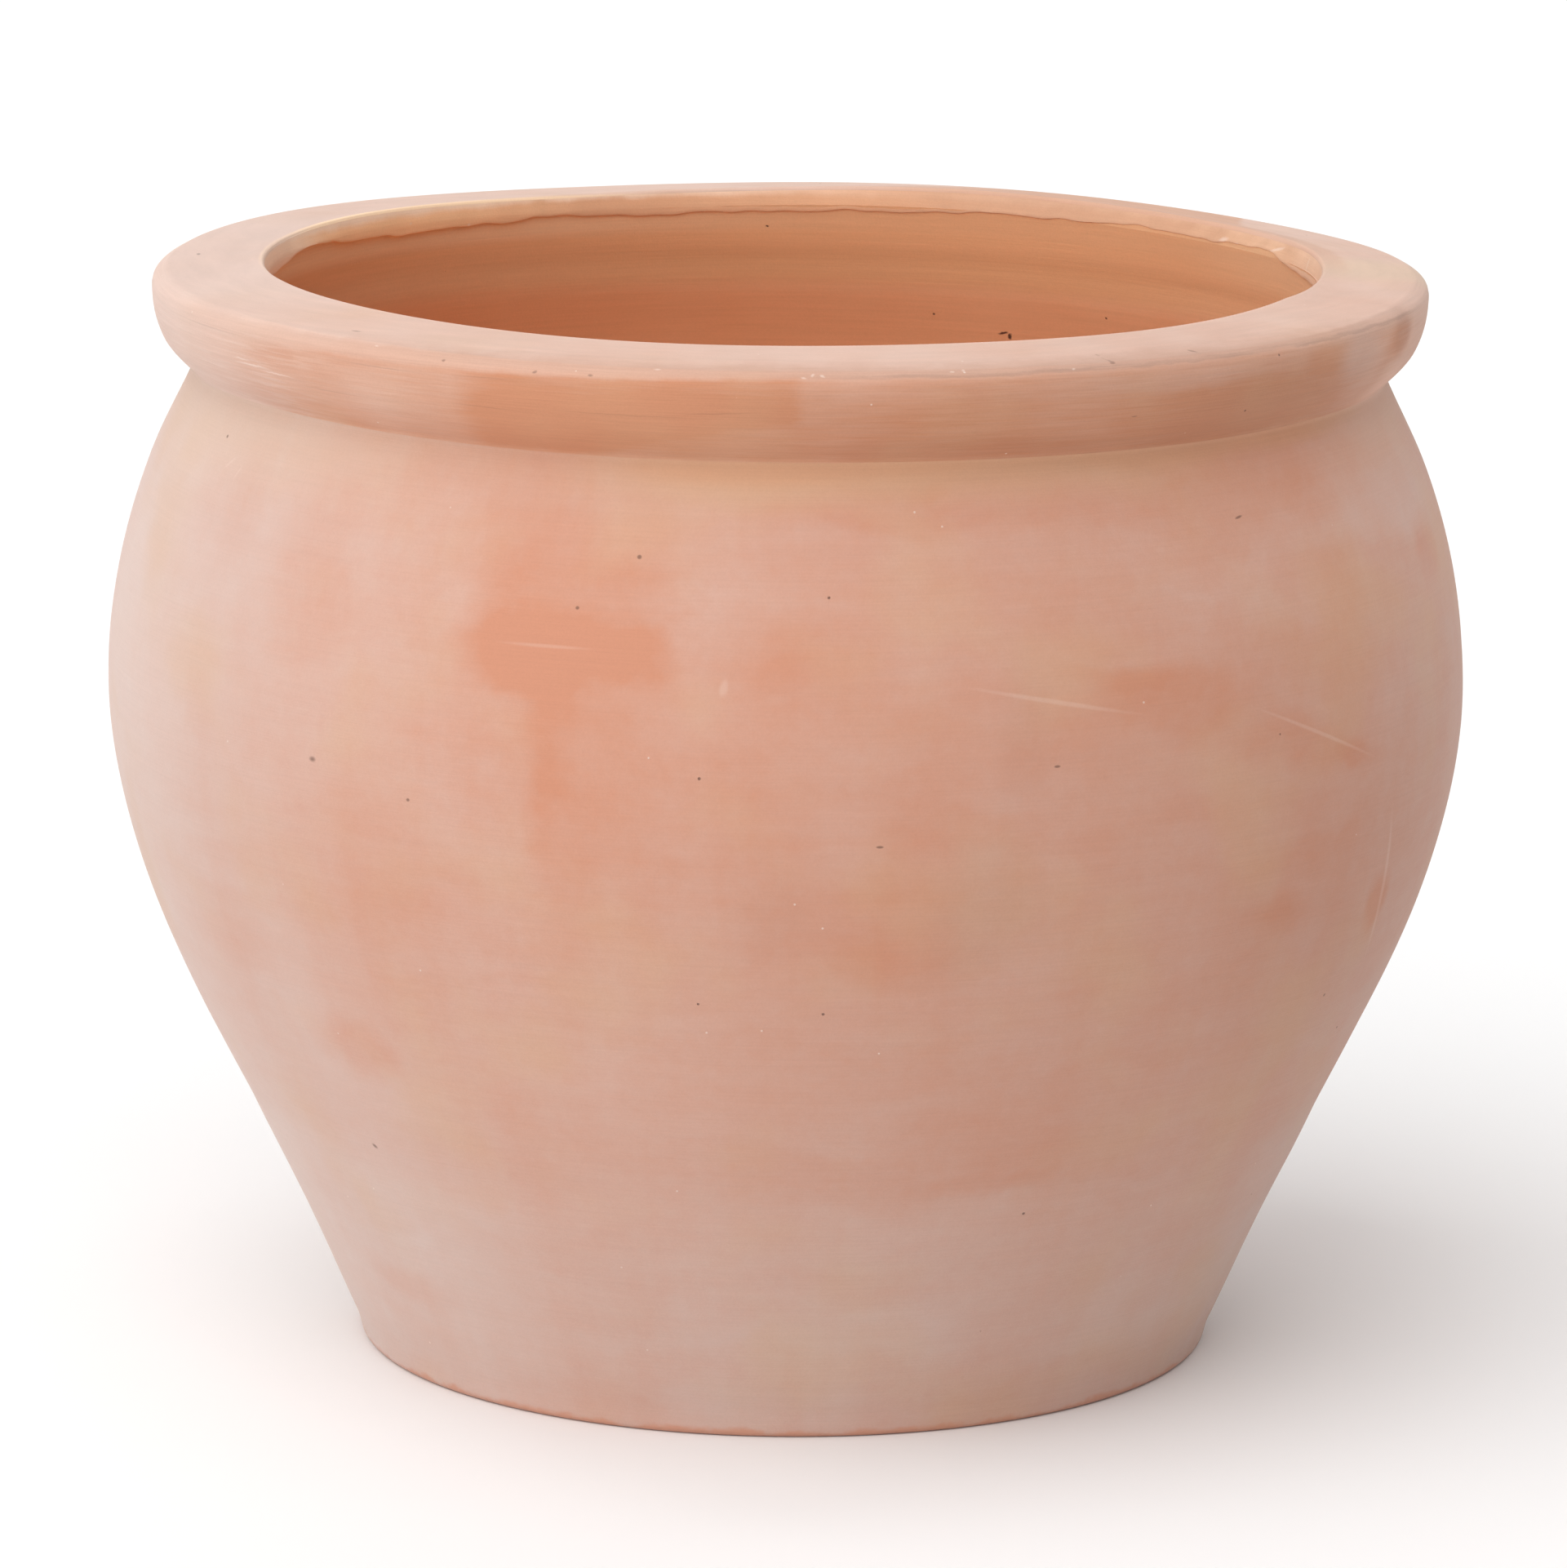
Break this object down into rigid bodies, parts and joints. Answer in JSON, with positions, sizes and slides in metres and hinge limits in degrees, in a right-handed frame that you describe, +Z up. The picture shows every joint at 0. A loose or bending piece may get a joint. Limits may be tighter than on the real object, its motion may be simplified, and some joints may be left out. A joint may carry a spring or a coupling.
{
  "type": "planter",
  "caption": "Large round-bellied terracotta planter with a tapering foot, a thick undercut rolled rim and a drain hole in its floor.",
  "frame": {"origin": "centre of the underside of the foot, on the ground", "axes": "+Z up along the axis the pot was turned about; -Y faces the viewer of the picture and +X is to the viewer's right"},
  "size_m": [0.4499, 0.45, 0.3615],
  "materials": {
    "clay_floor": "unglazed fired clay, matt, with a thin pale bloom",
    "clay_wall": "unglazed fired clay, matt, brushed level, under an uneven pale pink bloom with bare orange patches",
    "clay_rim": "unglazed fired clay, matt, palest on its smoothed top, brushed on its side"
  },
  "bodies": {
    "root": {"floor_slab": "clay_floor", "lower_wall": "clay_wall", "upper_wall": "clay_wall", "rim": "clay_rim"}
  },
  "joints": []
}
